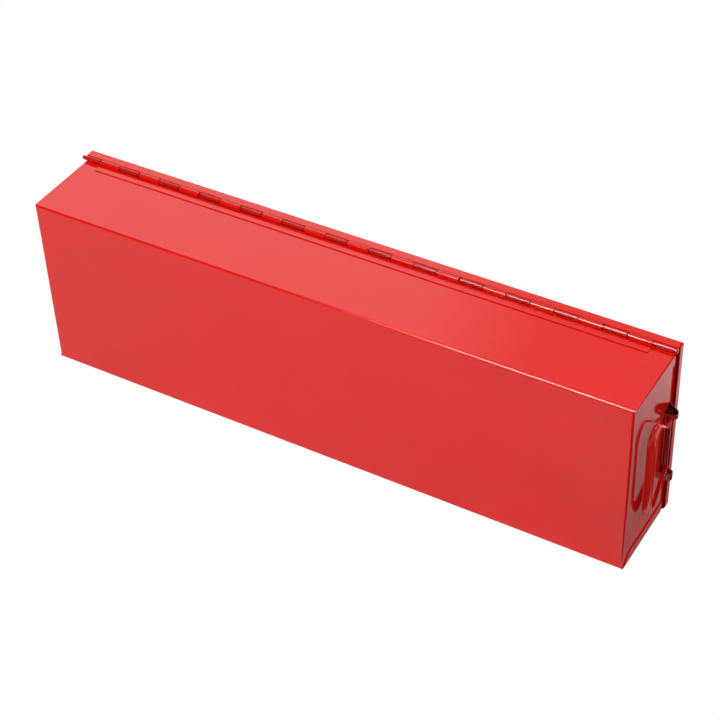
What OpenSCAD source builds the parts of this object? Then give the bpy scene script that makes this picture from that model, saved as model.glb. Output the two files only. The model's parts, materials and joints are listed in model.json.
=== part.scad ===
// Long, shallow sheet-steel tool case with a full-length hinged lid, a bail
// handle on each end and two quarter-turn catches.
//
// The case stands on its long front wall: X runs along it, +Y points from the
// bottom panel to the lid, and +Z from the front wall up to the hinge.
// Inside the modules, y = 0 is the outer face of the bottom panel and z = 0 the
// outer face of the front wall. at_rest() then puts the origin under the middle.

/* [Case] */
// Length of the case over the folded tabs
case_l = 670; // [500:1:800]
// Width of the case, from the front wall to the back wall
case_w = 203; // [170:1:260]
// Depth of the case, from the bottom panel to the lid's outer face
case_d = 104; // [95:1:150]
// Thickness of the sheet that the case and the lid are folded from
sheet = 1.0; // [0.8:0.1:1.4]
// Outside radius of every fold
fold_r = 2.2; // [1.8:0.1:3]
// Width of the tabs that wrap round the ends
tab_w = 13; // [8:0.5:20]
// Distance that the tabs stop short of the lid's rim
tab_stop = 6.5; // [4:0.5:10]
// Depth of the hem turned in along the open rim
hem_d = 8; // [4:0.5:12]

/* [Lid] */
// Depth of the lid's skirt, from its outer face to its rim
skirt_d = 8.5; // [6:0.5:8.5]
// Gap between the skirt and the tabs and front wall
skirt_gap = 1.0; // [0.8:0.1:1.6]
// Height of the lid's back skirt above the back wall
back_rise = 4.9; // [4.7:0.1:6]
// Radius of the lid's two front corners
lid_corner_r = 6; // [4:0.5:12]
// Gap between the rim of the case and the inside of the lid
rim_gap = 0.4; // [0.3:0.1:1]

/* [Hinge] */
// Number of knuckles; an odd number, so that both end ones belong to the lid
knuckles = 27; // [15:2:35]
// How much longer the hinge is than the case
hinge_over = 8; // [2:0.1:10]
// Distance that the hinge sits left of the middle
hinge_shift = 2.2; // [0:0.1:4]
// Distance from the lid's rim down to the hinge axis
hinge_drop = 4.8; // [4.2:0.1:6]
// Radius of the hinge's barrel
barrel_r = 2.6; // [2.4:0.1:2.8]
// Radius of the hinge pin
hinge_pin_r = 1.2; // [0.8:0.05:1.5]
// Radius of the pin's round head, at the left end
pin_head_r = 2.1; // [1.8:0.1:2.4]
// Length of the pin's head
pin_head_l = 4.6; // [3:0.1:6]
// Thickness of the hinge leaves
leaf_t = 1.0; // [0.8:0.1:1.2]
// Distance from the hinge axis to the body leaf's far edge
body_leaf_w = 11.7; // [9:0.1:20]

/* [Handles] */
// Height of each strap loop over the end wall
loop_h = 11.8; // [11:0.1:15]
// Width of each loop at the wall
loop_base = 11.4; // [11:0.1:15]
// Length of each loop along the pivot rod
loop_l = 8.7; // [6:0.1:14]
// Thickness of the strap that the loops are bent from
loop_t = 1.2; // [1:0.1:1.4]
// Distance between the two loops' inner sides
loop_span = 70.6; // [60:0.1:90]
// Radius of the loops' round tops
loop_top_r = 3.6; // [3.4:0.1:5]
// Distance from the lid's outer face to the pivot rod's axis
pivot_drop = 22.3; // [21:0.1:30]
// How far the handles sit below the middle of the ends
handle_drop = 1.5; // [0:0.1:10]
// Radius of the pivot rod
rod_r = 2.8; // [2:0.1:2.9]
// Length of the pivot rod
rod_l = 83; // [78:1:100]
// Height of the grip, over its outer edge
grip_h = 112; // [100:1:130]
// Reach of the bail, from the pivot's axis to the grip's outer edge
bail_reach = 55.7; // [45:0.1:60]
// Width of the grip's pressed strip, across the open hand
grip_w = 11.5; // [9:0.1:16]
// Width of the arms' pressed strip where they meet the grip
arm_w = 6; // [5:0.1:9]
// Thickness of the bail's strip
bail_t = 1.5; // [1.2:0.1:2]
// Radius of the rolled bead along the bail's inner edge
bead_r = 1.2; // [1:0.05:1.6]
// Crown of the grip's face over its two edges
crown = 0.9; // [0.5:0.1:1.2]
// Height of the grip's outer edge above the pivot's axis
grip_low = 3.1; // [2:0.1:4]
// Height of the grip's inner edge above the pivot's axis
grip_high = 7.3; // [6:0.1:9]

/* [Catches] */
// Distance from the middle of the case to each catch
catch_x = 205; // [120:1:220]
// Distance from the lid's outer face to the catches' axes
catch_drop = 26; // [26:0.5:34]
// Radius of the catch's flange on the front wall
flange_r = 11; // [10:0.5:14]
// Radius of the catch's threaded bush through the wall
bush_r = 8; // [7:0.5:9]
// Length of the bush inside the wall
bush_l = 12; // [10:0.5:16]
// Radius of the turning plug
plug_r = 5; // [4:0.5:6]
// Radius of the plug's head
plug_head_r = 7.5; // [7:0.5:9]
// Width of the nut across its flats
nut_flats = 21; // [19:0.5:24]
// Thickness of the nut
nut_t = 3; // [2:0.5:5]
// Length of the cam's arm from the catch's axis
cam_l = 16; // [14:0.5:16.5]
// Width of the cam's arm
cam_w = 8; // [6:0.5:9]
// Thickness of the cam
cam_t = 2; // [1.5:0.1:3]
// Diameter of the screw that holds the cam
screw_d = 3.5; // [3:0.1:4]
// Depth of the screw in the plug
screw_l = 7; // [5:0.5:9]
// Thickness of the screw's head
screw_head_t = 2.4; // [2:0.1:3]
// Width of the coin slot in the plug's head
coin_slot_w = 2; // [1.5:0.1:2.5]
// Depth of the coin slot
coin_slot_depth = 1.4; // [1:0.1:2]
// Width of the strike bracket under the lid
strike_w = 12; // [9:0.5:15]
// Thickness of the strike's strip
strike_t = 1.2; // [1:0.1:2]

/* [Fits] */
// Radial clearance of the hinge pin and of the catches' plugs
run_fit = 0.05; // [0.03:0.01:0.08]
// Clearance between neighbouring hinge knuckles
knuckle_gap = 0.3; // [0.2:0.05:0.5]
// Clearance round parts that turn past each other
turn_gap = 0.6; // [0.4:0.1:0.9]
// Clearance of the hinge barrel and the pivot rods from the walls
wall_gap = 0.3; // [0.2:0.05:0.5]
// Clearance of fixed parts in their holes and slots
slot_gap = 0.1; // [0.05:0.05:0.2]

/* [Hidden] */
$fn = 64;

RED = "#d4342c";
ZINC = "#b9bcc0";

end_x = case_l / 2;                 // outer face of the tabs
wall_x = end_x - sheet;             // outer face of the end walls
lid_t = sheet;
lid_out = skirt_gap + lid_t;        // how far the lid's skirt stands proud
lid_x = end_x + lid_out;
lid_z0 = -lid_out;
lid_z1 = case_w + back_rise;
rim_y = case_d - lid_t - rim_gap;   // open rim of the case
skirt_y = case_d - skirt_d;         // rim of the lid's skirt
tab_y = skirt_y - tab_stop;
over = 1;                           // cutters run this far past what they cut
nudge = 0.01;                       // keeps the faces of a cut from meeting exactly

hinge_z = case_w + barrel_r + wall_gap;
hinge_y = skirt_y - hinge_drop;
back_skirt_y = hinge_y + barrel_r + turn_gap;
hinge_l = case_l + hinge_over;
pitch = hinge_l / knuckles;
hinge_x0 = -hinge_l / 2 - hinge_shift;

rod_x = wall_x + rod_r + wall_gap;
mid_z = case_w / 2 - handle_drop;
pivot_y = case_d - pivot_drop;
catch_y = case_d - catch_drop;
stand = lid_out;                    // the lid's skirt is the lowest edge
head_t = 0.8;                       // the plug's head stands this far off the flange
flange_t = lid_out - head_t;
cam_gap = 1.2;                      // the cam stands this far off the bush
cam_z = sheet + bush_l + cam_gap;
cam_rim = 2;                        // width of the cam's ring round the plug
strike_gap = 1.5;                   // between the bush and the strike's near edge
tenon = 1.1 * plug_r;               // square end of the plug that turns the cam

module at_rest() translate([0, -case_d / 2, stand]) children();

// A yz outline, extruded along x and centred
module along_x(length) rotate([90, 0, 90]) linear_extrude(length, center = true) children();

// An xz outline, extruded from y0 to y1
module along_y(y0, y1) translate([0, y1, 0]) rotate([90, 0, 0]) linear_extrude(y1 - y0) children();

// A rectangle with its own radius at each corner, from lower left anticlockwise
module plate(x0, y0, x1, y1, r) {
    corners = [[x0, y0], [x1, y0], [x1, y1], [x0, y1]];
    inward = [[1, 1], [-1, 1], [-1, -1], [1, -1]];
    difference() {
        translate([x0, y0]) square([x1 - x0, y1 - y0]);
        for (i = [0:3]) if (r[i] > 0) translate(corners[i]) rounding(inward[i], r[i]);
    }
}

// What a rounded corner loses
module rounding(inward, r) difference() {
    translate([inward[0] > 0 ? -over : -r, inward[1] > 0 ? -over : -r]) square(r + over);
    translate([inward[0] * r, inward[1] * r]) circle(r);
}

// ---------------------------------------------------------------- case

// The folded pan: both folds along the bottom panel are rounded
module pan(inset, top) {
    r = fold_r - inset;
    intersection() {
        along_x(2 * (wall_x - inset)) plate(inset, inset, top, case_w - inset, [r, 0, 0, r]);
        linear_extrude(case_w) plate(-wall_x + inset, inset, wall_x - inset, top, [r, r, 0, 0]);
    }
}

// Tabs of the front and back walls, wrapped round the ends, with mitred corners
module tabs() intersection() {
    along_y(0, tab_y) plate(-end_x, 0, end_x, case_w, [fold_r, fold_r, fold_r, fold_r]);
    along_x(case_l) plate(0, 0, tab_y, case_w, [fold_r, 0, 0, fold_r]);
    along_x(case_l) {
        polygon([[0, 0], [tab_w, tab_w], [tab_y, tab_w], [tab_y, 0]]);
        translate([0, case_w]) mirror([0, 1])
            polygon([[0, 0], [tab_w, tab_w], [tab_y, tab_w], [tab_y, 0]]);
    }
}

// Double edge where the sheet is turned in along the rim
module hem() difference() {
    translate([-wall_x, rim_y - hem_d, 0]) cube([2 * wall_x, hem_d, case_w]);
    translate([-wall_x + 2 * sheet, 0, 2 * sheet])
        cube([2 * (wall_x - 2 * sheet), case_d, case_w - 4 * sheet]);
}

// Slots for the legs of one handle's loops
module loop_slots() for (s = [-1, 1], leg = [-1, 1]) {
    translate([wall_x - sheet - over, pivot_y + leg * (loop_base - loop_t) / 2, loop_mid(s)])
        translate([0, -loop_t / 2 - slot_gap, -loop_l / 2 - slot_gap])
            cube([sheet + 2 * over, loop_t + 2 * slot_gap, loop_l + 2 * slot_gap]);
}

module body_shell() color(RED) at_rest() difference() {
    union() {
        difference() {
            union() {
                pan(0, rim_y);
                tabs();
            }
            pan(sheet, rim_y + over);
        }
        hem();
    }
    loop_slots();
    mirror([1, 0, 0]) loop_slots();
    for (s = [-1, 1]) translate([s * catch_x, catch_y, -over])
        cylinder(r = bush_r + slot_gap, h = sheet + 2 * over);
}

// ---------------------------------------------------------------- lid

// The lid as a solid block, inset by one sheet for its hollow
module lid_block(inset, y0) {
    r = fold_r - inset;
    corner = lid_corner_r - inset;
    x = lid_x - inset;
    z0 = lid_z0 + inset;
    z1 = lid_z1 - inset;
    y1 = case_d - inset;
    intersection() {
        along_y(y0, y1) plate(-x, z0, x, z1, [corner, corner, r, r]);
        along_x(2 * x) plate(y0, z0, y1, z1, [0, r, r, 0]);
        translate([0, 0, z0]) linear_extrude(z1 - z0) plate(-x, y0, x, y1, [0, 0, r, r]);
    }
}

module lid_tray() color(RED) at_rest() difference() {
    lid_block(0, back_skirt_y);
    lid_block(lid_t, back_skirt_y - over);
    // The end and front skirts stop at skirt_y; the back one reaches the hinge
    translate([-lid_x - over, back_skirt_y - over, lid_z0 - over])
        cube([2 * (lid_x + over), skirt_y - back_skirt_y + over, lid_z1 - lid_z0 + over - lid_t]);
    // The fold of the back skirt is nicked at both ends, down to the end skirts
    nick = [lid_t + 2 * slot_gap, skirt_y - back_skirt_y + over, 4 * lid_t];
    for (s = [-1, 1])
        translate([s * (lid_x - lid_t / 2), (back_skirt_y + skirt_y - over) / 2, lid_z1])
            cube(nick, center = true);
}

// ---------------------------------------------------------------- hinge

// Left end of knuckle i; the first one makes room for the pin's head
function knuckle_x(i) = hinge_x0 + i * pitch + knuckle_gap / 2 + (i == 0 ? pin_head_l : 0);
function knuckle_l(i) = pitch - knuckle_gap - (i == 0 ? pin_head_l : 0);

// Knuckle i of the row, as a solid round bar
module knuckle(i) translate([knuckle_x(i), hinge_y, hinge_z])
    rotate([0, 90, 0]) cylinder(r = barrel_r, h = knuckle_l(i));

// Web that joins knuckle i to its leaf, from y0 to y1
module knuckle_web(i, y0, y1, z0) translate([knuckle_x(i), y0, z0])
    cube([knuckle_l(i), y1 - y0, leaf_t]);

module pin_bore() translate([hinge_x0 - over, hinge_y, hinge_z])
    rotate([0, 90, 0]) cylinder(r = hinge_pin_r + run_fit, h = hinge_l + 2 * over);

module hinge_body_leaf() color(RED) at_rest() difference() {
    union() {
        translate([hinge_x0 + pitch + knuckle_gap / 2, hinge_y - body_leaf_w, case_w])
            cube([(knuckles - 2) * pitch - knuckle_gap,
                  body_leaf_w - barrel_r - turn_gap, leaf_t]);
        for (i = [1:2:knuckles - 2]) {
            knuckle(i);
            knuckle_web(i, hinge_y - barrel_r - 2 * turn_gap, hinge_y, case_w);
        }
    }
    pin_bore();
}

module hinge_lid_leaf() color(RED) at_rest() difference() {
    leaf_x = lid_x - lid_t - turn_gap;
    leaf_z = lid_z1 - lid_t - leaf_t;
    union() {
        translate([-leaf_x, back_skirt_y, leaf_z])
            cube([2 * leaf_x, case_d - fold_r - slot_gap - back_skirt_y, leaf_t]);
        for (i = [0:2:knuckles - 1]) {
            knuckle(i);
            intersection() {
                knuckle_web(i, hinge_y, back_skirt_y + over, leaf_z);
                translate([-leaf_x, 0, 0]) cube([2 * leaf_x, case_d, 2 * case_w]);
            }
        }
    }
    pin_bore();
}

// Pin with a round head outside the first knuckle
module hinge_pin() color(RED) at_rest() translate([hinge_x0, hinge_y, hinge_z])
    rotate([0, 90, 0]) rotate_extrude() {
        dome_r = 0.7 * pin_head_r;
        square([hinge_pin_r, hinge_l]);
        translate([0, dome_r]) square([pin_head_r, pin_head_l - knuckle_gap / 2 - dome_r]);
        square([pin_head_r - dome_r, pin_head_l - knuckle_gap / 2]);
        intersection() {
            translate([pin_head_r - dome_r, dome_r]) circle(dome_r);
            translate([pin_head_r - dome_r, 0]) square(dome_r);
        }
    }

// ---------------------------------------------------------------- handles

// Height of a loop's middle: s is 1 for the upper loop, -1 for the lower one
function loop_mid(s) = mid_z + s * (loop_span + loop_l) / 2;

// Where the tangent from (half, 0) touches a circle of radius r centred at (0, c)
function tangent_angle(half, c, r) = acos(r / norm([half, c])) - atan2(c, half);
function tangent_point(half, c, r) =
    [r * cos(tangent_angle(half, c, r)), c + r * sin(tangent_angle(half, c, r))];

// Outline of a loop: straight sides that lean in to a round top
module loop_outline(half, r) {
    c = loop_h - loop_top_r;
    t = tangent_point(half, c, r);
    polygon([[-half, 0], [half, 0], t, [-t[0], t[1]]]);
    translate([0, c]) circle(r);
}

module loop(s) color(RED) at_rest() {
    half = loop_base / 2;
    foot = 5;                       // length of each leg's foot, clinched over inside
    translate([wall_x, pivot_y, loop_mid(s) - loop_l / 2]) linear_extrude(loop_l) {
        // 2D x is along -y of the case, 2D y points out of the wall
        rotate(-90) difference() {
            loop_outline(half, loop_top_r);
            translate([0, -nudge]) loop_outline(half - loop_t, loop_top_r - loop_t);
        }
        // Legs through the wall, and their feet
        for (leg = [-1, 1]) {
            translate([-sheet - loop_t, leg > 0 ? half - loop_t : -half])
                square([sheet + loop_t, loop_t]);
            translate([-sheet - loop_t, leg > 0 ? half - loop_t : -half - foot + loop_t])
                square([loop_t, foot]);
        }
    }
}

// Plan of the bail: s is the distance from the pivot's axis, z the height.
// It runs from the pivot along an arm, round a corner to the middle of the grip.
grip_turn = [11, 14];                         // outer corner's reach along s and z
hole_turn = [9.2, 10];                        // inner corner's reach along s and z
outer_c = [bail_reach, grip_h / 2] - grip_turn;
inner_c = [bail_reach - grip_w, grip_h / 2 - arm_w] - hole_turn;
neck_s = norm([loop_base / 2, loop_h]) + turn_gap;
neck_z = loop_span / 2 - 3 * turn_gap;        // the arms turn between the loops
root_s = rod_r / 2;                           // the arms start inside the rod's surface
root_z = neck_z - 2;                          // and a little nearer the middle
neck_w = 1.8;                                 // plan width of the arms at their necks
neck_in = 1;                                  // their inner edge passes the necks earlier
root_w = 2.6;                                 // plan width of the arms at their roots

arm_steps = 12;
turn_steps = 8;
neck_k = 0.25;                                // share of the steps up to the neck
arm_sweep = 1.6;                              // how fast the arms swing out to the grip
function mix(a, b, k) = a + (b - a) * k;
function outer_arm(k) = let (s = mix(neck_s, outer_c[0], k))
    [s, mix(grip_h / 2, neck_z, pow(1 - k, arm_sweep))];
function outer_edge(k) = k <= neck_k
    ? mix([root_s, root_z], [neck_s, neck_z], k / neck_k)
    : outer_arm((k - neck_k) / (1 - neck_k));
function inner_edge(k) = k <= neck_k
    ? mix([root_s, root_z - root_w], neck_inner, k / neck_k)
    : mix(neck_inner, [inner_c[0], grip_h / 2 - arm_w], (k - neck_k) / (1 - neck_k));
neck_inner = [neck_s - neck_in, neck_z - neck_w];
function turn(c, reach, a) = c + [reach[0] * sin(a), reach[1] * cos(a)];
half_out = [for (i = [0:arm_steps]) outer_edge(i / arm_steps),
            for (i = [1:turn_steps]) turn(outer_c, grip_turn, 90 * i / turn_steps)];
half_in = [for (i = [0:arm_steps]) inner_edge(i / arm_steps),
           for (i = [1:turn_steps]) turn(inner_c, hole_turn, 90 * i / turn_steps)];
function flip(p) = [p[0], -p[1]];
stations = len(half_out);
edge_out = [for (p = half_out) p, for (i = [1:stations]) flip(half_out[stations - i])];
edge_in = [for (p = half_in) p, for (i = [1:stations]) flip(half_in[stations - i])];

// The strip is dished: its inner edge stands higher off the wall than its outer one
hole_s = bail_reach - grip_w;
root_high = 2.5;                              // height of the inner edge at the rod
rise = 0.7;                                   // how soon it rises along the arms
function low(s) = grip_low * min(1, s / (hole_s / 2));
function high(s) = mix(root_high, grip_high, pow(min(1, s / hole_s), rise));
// A point of the bail, from its plan and its height over the pivot's axis
function bail_point(p, w) = [w, -p[0], p[1]];

// One cross-section: the crowned face, the bead on the inner edge, and the back
face_steps = 6;
bead_steps = 5;
bead_run = 6;                                 // how suddenly the face swells into the bead
function swell(u, bead) = mix(bail_t / 2, bead, pow(u, bead_run));
function crowned(u) = crown * 4 * u * (1 - u);
function section(i) = let (
    a = bail_point(edge_out[i], low(edge_out[i][0])),
    b = bail_point(edge_in[i], high(edge_in[i][0])),
    j = max(i - 1, 0),
    k = min(i + 1, len(edge_out) - 1),
    along = bail_point(edge_out[k] - edge_out[j], 0),
    across = (b - a) / norm(b - a),
    raw = cross(across, along),
    n = raw / norm(raw) * (raw[0] < 0 ? -1 : 1),
    grown = min(1, norm(b - a) / grip_w),
    bead = mix(bail_t / 2, bead_r, grown))
    [for (f = [0:face_steps]) let (u = f / face_steps)
        mix(a, b, u) + n * (grown * crowned(u) + swell(u, bead)),
     for (f = [1:bead_steps]) let (t = 180 * f / (bead_steps + 1))
        b + (n * cos(t) + across * sin(t)) * bead,
     for (f = [0:face_steps]) let (u = 1 - f / face_steps)
        mix(a, b, u) + n * (grown * crowned(u) - swell(u, bead))];
ring = 2 * face_steps + 2 + bead_steps;
rings = len(edge_out);

module bail() color(RED) at_rest() translate([rod_x, pivot_y, mid_z]) difference() {
    polyhedron(
        points = [for (i = [0:rings - 1]) each section(i)],
        faces = [[for (k = [0:ring - 1]) k],
                 [for (k = [0:ring - 1]) rings * ring - 1 - k],
                 for (i = [0:rings - 2], k = [0:ring - 1]) let (m = (k + 1) % ring)
                     [i * ring + k, (i + 1) * ring + k, (i + 1) * ring + m],
                 for (i = [0:rings - 2], k = [0:ring - 1]) let (m = (k + 1) % ring)
                     [i * ring + k, (i + 1) * ring + m, i * ring + m]]);
    cylinder(r = rod_r, h = rod_l, center = true);
}

module pivot_rod() color(RED) at_rest() translate([rod_x, pivot_y, mid_z])
    cylinder(r = rod_r, h = rod_l, center = true);

// ---------------------------------------------------------------- catches

module catch_bush() color(ZINC) at_rest() translate([catch_x, catch_y, 0]) difference() {
    union() {
        translate([0, 0, -flange_t]) cylinder(r = flange_r, h = flange_t);
        cylinder(r = bush_r, h = sheet + bush_l);
    }
    translate([0, 0, -flange_t - over])
        cylinder(r = plug_r + run_fit, h = flange_t + sheet + bush_l + 2 * over);
}

module catch_nut() color(ZINC) at_rest() translate([catch_x, catch_y, sheet]) difference() {
    cylinder(r = nut_flats / 2 / cos(30), h = nut_t, $fn = 6);
    translate([0, 0, -over]) cylinder(r = bush_r + run_fit, h = nut_t + 2 * over);
}

// Turning plug with a coin slot across its head and a square end for the cam
module catch_plug() color(ZINC) at_rest() translate([catch_x, catch_y, 0]) difference() {
    union() {
        translate([0, 0, -lid_out]) cylinder(r = plug_head_r, h = head_t);
        translate([0, 0, -flange_t]) cylinder(r = plug_r, h = cam_z + flange_t);
        translate([-tenon / 2, -tenon / 2, cam_z - over]) cube([tenon, tenon, cam_t + over - slot_gap]);
    }
    translate([-plug_r, -coin_slot_w / 2, -lid_out - over])
        cube([2 * plug_r, coin_slot_w, coin_slot_depth + over]);
    translate([0, 0, cam_z - screw_l]) cylinder(d = screw_d, h = screw_l + cam_t + over);
}

module catch_cam() color(ZINC) at_rest() translate([catch_x, catch_y, cam_z]) difference() {
    hole = tenon + 2 * slot_gap;
    union() {
        cylinder(r = plug_r + cam_rim, h = cam_t);
        translate([-cam_w / 2, 0, 0]) cube([cam_w, cam_l - cam_w / 2, cam_t]);
        translate([0, cam_l - cam_w / 2, 0]) cylinder(r = cam_w / 2, h = cam_t);
    }
    translate([-hole / 2, -hole / 2, -over]) cube([hole, hole, cam_t + 2 * over]);
}

// Screw that holds the cam on the plug's end
module catch_screw() color(ZINC) at_rest() translate([catch_x, catch_y, cam_z + cam_t]) difference() {
    cross_l = plug_r;
    cross_w = cross_l / 5;
    cross_depth = screw_head_t / 2;
    union() {
        cylinder(r = plug_r, h = screw_head_t);
        translate([0, 0, -cam_t - screw_l]) cylinder(d = screw_d, h = cam_t + screw_l + over);
    }
    for (a = [0, 90]) rotate(a) translate([-cross_l / 2, -cross_w / 2, screw_head_t - cross_depth])
        cube([cross_l, cross_w, cross_depth + over]);
}

// Bracket under the lid; its lip lies below the cam's arm when the catch is shut
module strike() color(ZINC) at_rest() translate([catch_x + bush_r + strike_gap, 0, 0]) {
    leg_z = cam_z - turn_gap - strike_t;
    lip_y = catch_y - cam_w / 2 - turn_gap - strike_t;
    lip_h = strike_t + cam_t + 2 * turn_gap + 4;
    foot = 14;
    translate([0, lip_y, leg_z]) cube([strike_w, case_d - lid_t - lip_y, strike_t]);
    translate([0, lip_y, leg_z]) cube([strike_w, strike_t, lip_h]);
    translate([0, case_d - lid_t - strike_t, leg_z]) cube([strike_w, strike_t, foot]);
}

module left() mirror([1, 0, 0]) children();

body_shell();
lid_tray();
hinge_body_leaf();
hinge_lid_leaf();
hinge_pin();
bail();  // right_bail
pivot_rod();  // right_pivot_rod
loop(1);  // right_upper_loop
loop(-1);  // right_lower_loop
left() bail();  // left_bail
left() pivot_rod();  // left_pivot_rod
left() loop(1);  // left_upper_loop
left() loop(-1);  // left_lower_loop
catch_bush();  // right_catch_bush
catch_nut();  // right_catch_nut
catch_plug();  // right_catch_plug
catch_cam();  // right_catch_cam
catch_screw();  // right_catch_screw
strike();  // right_strike
left() catch_bush();  // left_catch_bush
left() catch_nut();  // left_catch_nut
left() catch_plug();  // left_catch_plug
left() catch_cam();  // left_catch_cam
left() catch_screw();  // left_catch_screw
left() strike();  // left_strike
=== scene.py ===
"""Glossy red sheet-steel tool case, standing on its long front wall.

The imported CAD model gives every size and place. This script dresses it: it
makes the finishes, the pieces that the CAD keeps plain, the floor, the
lights and the camera.
"""

from __future__ import annotations

import json
import logging
import math
from collections.abc import Callable
from dataclasses import dataclass, field
from enum import Enum

import bmesh
import bpy
from mathutils import Matrix, Vector

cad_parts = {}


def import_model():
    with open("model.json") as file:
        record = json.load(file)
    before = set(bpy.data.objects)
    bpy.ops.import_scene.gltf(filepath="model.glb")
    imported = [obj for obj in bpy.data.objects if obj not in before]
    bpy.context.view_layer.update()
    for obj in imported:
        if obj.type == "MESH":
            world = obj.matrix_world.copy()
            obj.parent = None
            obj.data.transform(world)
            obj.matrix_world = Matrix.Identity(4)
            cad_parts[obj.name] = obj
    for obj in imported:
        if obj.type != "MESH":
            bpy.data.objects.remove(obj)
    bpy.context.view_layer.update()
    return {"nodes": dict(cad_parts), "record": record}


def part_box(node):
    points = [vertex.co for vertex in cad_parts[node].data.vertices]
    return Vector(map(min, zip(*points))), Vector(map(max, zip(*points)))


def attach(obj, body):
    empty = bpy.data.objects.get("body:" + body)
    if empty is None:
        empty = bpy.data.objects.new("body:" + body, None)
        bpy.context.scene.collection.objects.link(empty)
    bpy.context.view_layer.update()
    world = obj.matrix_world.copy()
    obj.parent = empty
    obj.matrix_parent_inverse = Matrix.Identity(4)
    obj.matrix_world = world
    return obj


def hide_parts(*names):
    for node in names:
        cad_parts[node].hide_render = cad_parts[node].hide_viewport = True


LOG = logging.getLogger("tool_case")
MM = 0.001
SHARP = math.radians(40)  # folds steeper than this stay sharp

Node = bpy.types.Node
Socket = bpy.types.NodeSocket
Pair = tuple[float, float]
Triple = tuple[float, float, float]
Quad = tuple[float, float, float, float]
Place = Callable[[Vector, float], Vector]


class Slot(str, Enum):
    """Material slots of the record."""

    CASE = "case_paint"
    HINGE = "hinge_paint"
    HANDLE = "handle_paint"
    ZINC = "zinc"


@dataclass(frozen=True)
class Paint:
    """Stoved gloss paint.

    Attributes:
        name: Material name.
        colour: Linear red, green and blue of the paint.
        roughness: Least roughness of the gloss surface.
        peel: Height of the orange peel in millimetres.
        mottle: Depth of the slow colour changes, from 0 to 1.
        darkest: Share of the colour that the deepest change leaves.
    """

    name: str
    colour: Triple
    roughness: float
    peel: float
    mottle: float
    darkest: float = 0.8


@dataclass(frozen=True)
class Plating:
    """Zinc plating on turned and pressed steel.

    Attributes:
        name: Material name.
        colour: Linear red, green and blue of the metal.
        roughness: Middle roughness.
        spread: Shares of the roughness that its cloudy patches reach.
        darkest: Share of the colour in the darkest patches.
        cloud: Scale of the patches, per metre.
        grain: Scale of the fine grain, per metre.
        grain_height: Height of the grain in millimetres.
    """

    name: str
    colour: Triple
    roughness: float
    spread: Pair = (0.8, 1.3)
    darkest: float = 0.75
    cloud: float = 60.0
    grain: float = 900.0
    grain_height: float = 0.02


FLUTES = 16  # ribs round a knuckle of the lid
RED = (0.80, 0.009, 0.004)
CASE_PAINT = Paint("BodyPaint", RED, roughness=0.06, peel=0.005, mottle=0.24)
HINGE_PAINT = Paint("HingePaint", RED, roughness=0.08, peel=0.002, mottle=0.32)
# Brighter copy of the case's red on the handles: painted light on the same red paint as the case.
HANDLE_LIT_PAINT = Paint("HandleLitPaint", (0.97, 0.018, 0.010), roughness=0.06, peel=0.004, mottle=0.32)
# Darker copy of the red on the lid's ribbed knuckles and leaf: painted shade on the same red paint.
RIBS_SHADE_PAINT = Paint("RibbedShadePaint", (0.52, 0.008, 0.004), roughness=0.12, peel=0.003, mottle=0.4)
# Darker copy of the red on the loops and rods: painted shade on the same red paint.
LOOP_SHADE_PAINT = Paint("LoopShadePaint", (0.40, 0.005, 0.003), roughness=0.10, peel=0.004, mottle=0.32)
# Near-black: painted shade inside the upper loops and on the rods' upper ends; also the dark corner seams.
SHADE_AND_SEAM_BLACK = Paint("ShadeAndSeamBlack", (0.012, 0.002, 0.001), roughness=0.6, peel=0.02, mottle=0.8)
ZINC = Plating("ZincPlate", (0.60, 0.61, 0.63), roughness=0.34)


class Tree:
    """Short helper around a node tree.

    Args:
        tree: The Blender node tree to build in.
    """

    def __init__(self, tree: bpy.types.NodeTree) -> None:
        """Keeps the tree."""
        self.tree = tree

    def node(self, kind: str, **values: object) -> Node:
        """Adds a node.

        Args:
            kind: Blender's node type.
            **values: Attributes of the node.

        Returns:
            The new node.
        """
        made = self.tree.nodes.new(kind)
        for key, value in values.items():
            setattr(made, key, value)
        return made

    def link(self, source: Socket, target: Socket) -> None:
        """Links two sockets.

        Args:
            source: Output socket.
            target: Input socket.
        """
        self.tree.links.new(source, target)

    def noise(self, coords: Socket, scale: float, detail: float = 2.0) -> Socket:
        """Adds a noise texture.

        Args:
            coords: Coordinates to read it at.
            scale: Noise scale, per metre.
            detail: Octaves.

        Returns:
            The noise value's socket.
        """
        made = self.node("ShaderNodeTexNoise")
        made.inputs["Scale"].default_value = scale
        made.inputs["Detail"].default_value = detail
        self.link(coords, made.inputs["Vector"])
        return made.outputs[0]

    def ramp(self, value: Socket, low: float, high: float, to_low: float, to_high: float) -> Socket:
        """Maps a value from one range to another, clamped.

        Args:
            value: Socket to map.
            low: Start of the range that is read.
            high: End of the range that is read.
            to_low: Result at low.
            to_high: Result at high.

        Returns:
            The mapped socket.
        """
        made = self.node("ShaderNodeMapRange", clamp=True)
        for name, number in zip(("From Min", "From Max", "To Min", "To Max"), (low, high, to_low, to_high)):
            made.inputs[name].default_value = number
        self.link(value, made.inputs["Value"])
        return made.outputs["Result"]

    def math(self, operation: str, first: Socket, second: Socket | float) -> Socket:
        """Adds a math node.

        Args:
            operation: Blender's operation name.
            first: First operand.
            second: Second operand, a socket or a number.

        Returns:
            The result's socket.
        """
        made = self.node("ShaderNodeMath", operation=operation)
        self.link(first, made.inputs[0])
        if isinstance(second, (int, float)):
            made.inputs[1].default_value = second
        else:
            self.link(second, made.inputs[1])
        return made.outputs[0]


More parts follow.
